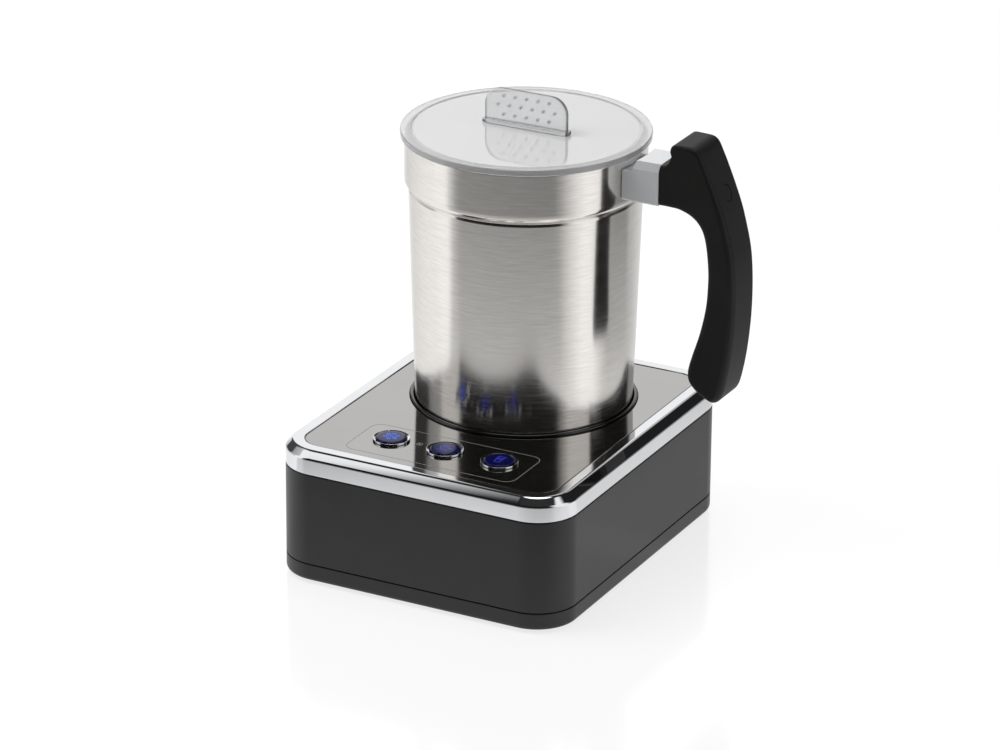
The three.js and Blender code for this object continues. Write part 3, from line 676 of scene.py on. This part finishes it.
def grip_shape(bm):
    half = (grip_high[0] - grip_low[0]) / 2 - 1
    corner = 8.0
    top, bottom = grip_high[2], grip_low[2]
    outline = [(-half, bottom), (half, bottom)] + arc(half - corner, top - corner, corner, 0, 90, 12) + arc(
        corner - half, top - corner, corner, 90, 180, 12)
    thick = 1.3
    rows = []
    for y, inset in ((-thick, 0.35), (-thick + 0.35, 0), (thick - 0.35, 0), (thick, 0.35)):
        scale_x, scale_z = (half - inset) / half, (top - bottom - inset) / (top - bottom)
        smaller = [(x * scale_x, bottom + (z - bottom) * scale_z) for x, z in outline]
        rows.append([bm.verts.new((x * MM, y * MM, z * MM)) for x, z in smaller])
    skin(bm, rows, False)
    bm.faces.new(rows[0])
    bm.faces.new(rows[-1])
    prism(bm, rectangle(half + 1.0, 2.2, 0.6, 3), bottom + 0.1, bottom + 1.5)
    middle = (top + bottom) / 2 + 0.55
    for side in (-1, 1):
        for row, count in ((1, 5), (0, 6), (-1, 5)):
            for k in range(count):
                x = (k - (count - 1) / 2) * 5.65
                bead(bm, x, side * thick, middle + row * 4.35, side)


def bead(bm, x, y, z, side, radius=0.7, height=0.42):
    """A shallow round bump on the grip's face, sunk a little into it."""
    rows = []
    levels = ((radius, -0.15), (radius, 0.0), (radius * 0.85, height * 0.6), (radius * 0.5, height * 0.93))
    for r, h in levels:
        rows.append([bm.verts.new((u * MM, (y + side * h) * MM, v * MM)) for u, v in circle(r, 10, (x, z))])
    rows.append([bm.verts.new((x * MM, (y + side * height) * MM, z * MM))])
    bm.faces.new(rows[0])
    skin(bm, rows, False)


place(make("grip_fin", grip_shape, LOOKS["clear_plastic"], AXIS), "lid", "clear_plastic", "lid_grip")


# ---------------------------------------------------------------- bracket and handle
NECK = 71.0
NECK_LOW, NECK_HIGH = bracket_low[2], bracket_high[2]


def bracket_shape(bm):
    half, chamfer, small = 12.0, 3.2, 1.0
    section = [(-half + small, NECK_LOW), (half - small, NECK_LOW), (half, NECK_LOW + small),
               (half, NECK_HIGH - chamfer), (half - chamfer, NECK_HIGH), (chamfer - half, NECK_HIGH),
               (-half, NECK_HIGH - chamfer), (-half, NECK_LOW + small)]
    rows = [[bm.verts.new((x * MM, y * MM, z * MM)) for y, z in section] for x in (45.0, NECK)]
    skin(bm, rows, False)
    bm.faces.new(rows[0])
    bm.faces.new(rows[1])


def bracket_cuts(bm):
    """Room for the collar and, above it, for the lid's wider disc."""
    collar, disc_room, step_up = COLLAR + 0.15, 59.5, 184.5
    profile = [(0, 150), (collar, 150), (collar, step_up), (disc_room, step_up), (disc_room, 200), (0, 200)]
    lathe(bm, profile, 180)


bracket = make("bracket_block", bracket_shape, LOOKS["bracket_steel"], AXIS)
carve(bracket, bracket_cuts)
soften(bracket, 0.35, 3)
place(bracket, "jug", "chrome", "handle_bracket")


def through(points, steps=6):
    """A smooth line through points (Catmull and Rom's)."""
    out = []
    last = len(points) - 1
    for k in range(last):
        p = [Vector(points[min(max(k + d, 0), last)]) for d in (-1, 0, 1, 2)]
        for step in range(steps):
            t = step / steps
            spot = ((p[1] * 2) + (p[2] - p[0]) * t + (p[0] * 2 - p[1] * 5 + p[2] * 4 - p[3]) * t * t
                    + (p[1] * 3 - p[0] - p[2] * 3 + p[3]) * t ** 3) / 2
            out.append(tuple(spot))
    return out + [tuple(points[-1])]


LIP = (76.7, 194.2)


def handle_outline():
    """The handle's side view (x, z), from under the neck round the grip to the top of the neck."""
    reach = handle_high[0] - JUG_X
    body = through([
        (NECK + 0.3, NECK_LOW), (76, 170.15), (81, 169.7), (86.8, 167.3), (90.9, 163), (93.2, 156.5),
        (94.6, 146), (94.8, 137), (94, 126), (91.4, 113.5), (88, 102.5), (86.2, 95.5), (86.6, 90.6),
        (89.6, 86.6), (94.5, 83.3), (99, 81.9), (102.4, 84.6), (104.6, 92), (106.6, 104), (107.9, 118),
        (reach, 132), (107.6, 145), (106.1, 155), (102.6, 168), (98.8, 178), (94.6, 187.6), (91.6, 194)], 5)
    top = handle_high[2]
    crown = rounded([(91.6, 194), (88.9, top, 4.0), (76.0, top, 3.0), (76.0, 196.2, 0.3), LIP], 6)[1:]
    neck = through([LIP, (75.2, 191), (73.2, 189.3), (NECK + 0.3, NECK_HIGH)], 4)[1:]
    return body + crown + neck


def handle_shape(bm):
    outline = [Vector(p) for p in handle_outline()]
    count = len(outline)
    half = 11.5
    turns = 6
    inward = []
    for k, point in enumerate(outline):
        if k in (0, count - 1):
            inward.append(Vector((0, 1 if k == 0 else -1)))
            continue
        along = (outline[k + 1] - outline[k - 1]).normalized()
        inward.append(Vector((-along.y, along.x)))

    def radius(point):
        """Edge rounding: tight at the top and under the crown's lip, soft down at the grip's end."""
        wide = min(3.2, 2.0 + max(0.0, 190 - point.y) * 0.04)
        return min(wide, 0.5 + 0.16 * (point - Vector(LIP)).length)

    rows = []
    for side in (-1, 1):
        order = range(turns + 1) if side < 0 else range(turns, -1, -1)
        for step in order:
            angle = step / turns * math.pi / 2
            row = []
            for point, aim in zip(outline, inward):
                r = radius(point)
                spot = point + aim * r * (1 - math.sin(angle))
                y = side * (half - r * (1 - math.cos(angle)))
                row.append(bm.verts.new((spot.x * MM, y * MM, spot.y * MM)))
            rows.append(row)
    skin(bm, rows, False)
    bm.faces.new(rows[0])
    bm.faces.new(rows[-1])


PLUG_Z = 178.0


def plug_bore(bm, radius, start=92.2):
    drill(bm, radius, start, 120.0, 40)
    bmesh.ops.rotate(bm, verts=bm.verts, cent=(0, 0, 0), matrix=Matrix.Rotation(math.pi / 2, 3, "Y"))
    bmesh.ops.translate(bm, verts=bm.verts, vec=(0, 0, PLUG_Z * MM))


handle = make("handle_body", handle_shape, LOOKS["handle_black"], AXIS)
plug = make("handle_cap", handle_shape, LOOKS["handle_black"], AXIS)
carve(plug, lambda bm: plug_bore(bm, 3.45, 95.2), "INTERSECT")
plug.location.x -= 0.12 * MM
carve(handle, lambda bm: plug_bore(bm, 3.7))
place(handle, "jug", "handle_black", "handle_grip")
place(plug, "jug", "handle_black", "handle_plug")

# ---------------------------------------------------------------- whisk
spring_low, spring_high = span("whisk_spring")
COIL_Z = (spring_low[2] + spring_high[2]) / 2
hub_low, hub_high = span("whisk_hub")
HOOP, WIND, TURNS = 18.0, 2.0, 56


def spring_shape(bm):
    count = TURNS * 10
    line = []
    for k in range(count):
        around, twist = 2 * math.pi * k / count, 2 * math.pi * k * TURNS / count
        radius = HOOP + WIND * math.cos(twist)
        line.append((radius * math.cos(around), radius * math.sin(around), COIL_Z + WIND * math.sin(twist)))
    tube(bm, line, 0.38, 6, True)
    for k in range(4):
        angle = (k + 0.5) * math.pi / 2
        arm = [(r * math.cos(angle), r * math.sin(angle), COIL_Z) for r in (12.6, 14.4, 16.1)]
        tube(bm, arm, 0.7, 10)


place(make("whisk_coil", spring_shape, LOOKS["zinc"], AXIS), "whisk", "zinc", "whisk_spring")
core = rounded([
    (2.0, hub_low[2]), (6.2, hub_low[2]), (6.2, 64.4), (11.8, 64.4), (11.8, hub_low[2]),
    (13, hub_low[2], 0.3), (13, 66.2, 1.2), (4.3, 67.8, 1.0), (3.6, hub_high[2], 0.5),
    (2.0, hub_high[2], 0.2)], 5)
turned("whisk_core", "whisk", "gloss_black", core, AXIS, 64, True, ["whisk_hub"])

# ---------------------------------------------------------------- studio
AZIMUTH, ELEVATION, ROLL, DISTANCE = math.radians(27.511), math.radians(24.3), math.radians(0.473), 2227.9
AIM_RIGHT, AIM_UP = -0.57, 74.0
level_part = math.cos(ELEVATION)
back = Vector((math.sin(AZIMUTH) * level_part, -math.cos(AZIMUTH) * level_part, math.sin(ELEVATION)))
right = Vector((math.cos(AZIMUTH), math.sin(AZIMUTH), 0))
up = back.cross(right)
level = right * math.cos(ROLL) + up * math.sin(ROLL)
upright = up * math.cos(ROLL) - right * math.sin(ROLL)
centre = Vector((BASE_X, BASE_Y, 0))
eye = centre + back * DISTANCE
aim = centre + level * AIM_RIGHT + upright * AIM_UP
toward = (eye - aim).normalized()
side = (level - toward * level.dot(toward)).normalized()
camera = bpy.data.objects.new("camera", bpy.data.cameras.new("camera"))
camera.data.sensor_width, camera.data.lens = 36.0, 176.15
camera.data.clip_start, camera.data.clip_end = 0.1, 50.0
turn = Matrix((side, toward.cross(side), toward)).transposed().to_4x4()
camera.matrix_world = Matrix.Translation(eye * MM) @ turn
bpy.context.scene.collection.objects.link(camera)
bpy.context.scene.camera = camera
bpy.context.scene.view_settings.view_transform = "Standard"

# What the part mirrors: the brightness of the room by direction, from the camera's side (0.5) round to the
# right (1) and left (0), above the floor's level, and on the floor. The camera itself sees plain white.
ABOVE = [(0.0, 1.0), (0.055, 1.0), (0.065, 0.06), (0.16, 0.06), (0.175, 0.4), (0.225, 0.55), (0.235, 1.0),
         (0.2965, 1.0), (0.3035, 0.012), (0.595, 0.012), (0.635, 0.95), (0.72, 0.95), (0.75, 0.015),
         (0.885, 0.015), (0.9, 0.5), (0.96, 0.5), (0.975, 1.0), (1.0, 1.0)]
BELOW = [(0.0, 0.72), (0.1, 0.78), (0.17, 0.95), (0.283, 0.95), (0.3, 0.35), (0.33, 0.12), (0.57, 0.1),
         (0.6, 0.48), (0.655, 1.0), (0.69, 0.98), (0.73, 0.6), (0.76, 0.03), (0.8, 0.03), (0.83, 0.45),
         (0.87, 0.55), (0.95, 0.68), (1.0, 0.72)]
# The mirrored glow of the floor in front by distance from the jug, in units of 500 mm
NEAR_BY = [(0.0, 0.9), (0.36, 0.8), (0.43, 0.7), (0.534, 0.38), (0.634, 0.36), (0.768, 0.28), (0.892, 0.1)]


def room_tone(tree, vector, stops):
    """Brightness of the direction or place given by vector, seen from the jug."""
    east = wire(tree, "VectorMath", {0: vector, 1: tuple(right)}, operation="DOT_PRODUCT").outputs["Value"]
    near = Vector((back.x, back.y, 0)).normalized()
    south = wire(tree, "VectorMath", {0: vector, 1: tuple(near)}, operation="DOT_PRODUCT").outputs["Value"]
    angle = math_node(tree, "ARCTAN2", east, south)
    return ramp(tree, math_node(tree, "MULTIPLY_ADD", angle, 0.5 / math.pi, 0.5), *stops)


world = bpy.data.worlds.new("studio")
world.use_nodes = True
bpy.context.scene.world = world
tree = world.node_tree
tree.nodes.clear()
direction = wire(tree, "TexCoord").outputs["Generated"]
height = wire(tree, "SeparateXYZ", {0: direction}).outputs[2]
above = math_node(tree, "MULTIPLY", height, 10.0, clamp=True)
walls = {0: above, 6: room_tone(tree, direction, BELOW), 7: room_tone(tree, direction, ABOVE)}
sides = wire(tree, "Mix", walls, data_type="RGBA").outputs[2]
# The walls stop short of the top, where a panel lights from straight above
ceiling = ramp(tree, height, (0.79, 0.0), (0.815, 1.0))
sides = wire(tree, "Mix", {0: ceiling, 6: sides, 7: (0.03, 0.03, 0.03, 1)}, data_type="RGBA").outputs[2]
overhead = ramp(tree, height, (0.93, 0.0), (0.96, 1.0))
toned = wire(tree, "Mix", {0: overhead, 6: sides, 7: (2.5, 2.5, 2.5, 1)}, data_type="RGBA").outputs[2]
seen = wire(tree, "LightPath").outputs["Is Camera Ray"]
shade = wire(tree, "Mix", {0: seen, 6: toned, 7: (1, 1, 1, 1)}, data_type="RGBA").outputs[2]
light = wire(tree, "Background", {"Color": shade, "Strength": 1.0}).outputs[0]
tree.links.new(light, wire(tree, "OutputWorld").inputs["Surface"])

# Pale floor: white to look at, and it mirrors the base softly. The glow that the part mirrors differs by place
floor_mesh = bpy.data.meshes.new("floor")
bm = bmesh.new()
FLOOR_RADIUS = 1400.0
bm.faces.new([bm.verts.new((x * MM, y * MM, 0)) for x, y in circle(FLOOR_RADIUS, 96)])
bm.to_mesh(floor_mesh)
bm.free()
floor = bpy.data.objects.new("floor", floor_mesh)
floor.location = (JUG_X * MM, JUG_Y * MM, -0.02 * MM)
bpy.context.scene.collection.objects.link(floor)
surface = bpy.data.materials.new("floor")
surface.use_nodes = True
tree = surface.node_tree
tree.nodes.clear()
place_on = wire(tree, "TexCoord").outputs["Object"]
tone = room_tone(tree, place_on, BELOW)
reach = wire(tree, "VectorMath", {0: place_on}, operation="LENGTH").outputs["Value"]
near_by = ramp(tree, math_node(tree, "MULTIPLY", reach, 2.0), *NEAR_BY)
lighter = {0: 1.0, 6: tone, 7: near_by}
front_light = wire(tree, "Mix", lighter, data_type="RGBA", blend_type="LIGHTEN").outputs[2]
seen = wire(tree, "LightPath").outputs["Is Camera Ray"]
glow_tone = wire(tree, "Mix", {0: seen, 6: front_light, 7: (1, 1, 1, 1)}, data_type="RGBA").outputs[2]
shine = wire(tree, "Emission", {"Color": glow_tone, "Strength": 0.86}).outputs[0]
matt = wire(tree, "BsdfDiffuse", {"Color": (0.26, 0.26, 0.26, 1)}).outputs[0]
added = wire(tree, "AddShader", {0: shine, 1: matt}).outputs[0]
mirror = wire(tree, "BsdfGlossy", {"Color": (1, 1, 1, 1), "Roughness": 0.13}).outputs[0]
film = wire(tree, "Fresnel", {"IOR": 1.38}).outputs[0]
mixed = wire(tree, "MixShader", {0: film, 1: added, 2: mirror}).outputs[0]
tree.links.new(mixed, wire(tree, "OutputMaterial").inputs["Surface"])
floor_mesh.materials.append(surface)


def lamp(name, size, power, place_mm, aim_mm):
    data = bpy.data.lights.new(name, "AREA")
    data.shape, data.size, data.energy = "SQUARE", size, power
    made = bpy.data.objects.new(name, data)
    made.location = Vector(place_mm) * MM
    made.visible_glossy = False
    made.rotation_mode = "QUATERNION"
    made.rotation_quaternion = (Vector(place_mm) - Vector(aim_mm)).to_track_quat("Z", "Y")
    bpy.context.scene.collection.objects.link(made)


LAMP_AT = centre - right * 700 + back * 100 + Vector((0, 0, 1100))
lamp("key_light", 0.7, 6.0, LAMP_AT, (JUG_X, JUG_Y, 80))
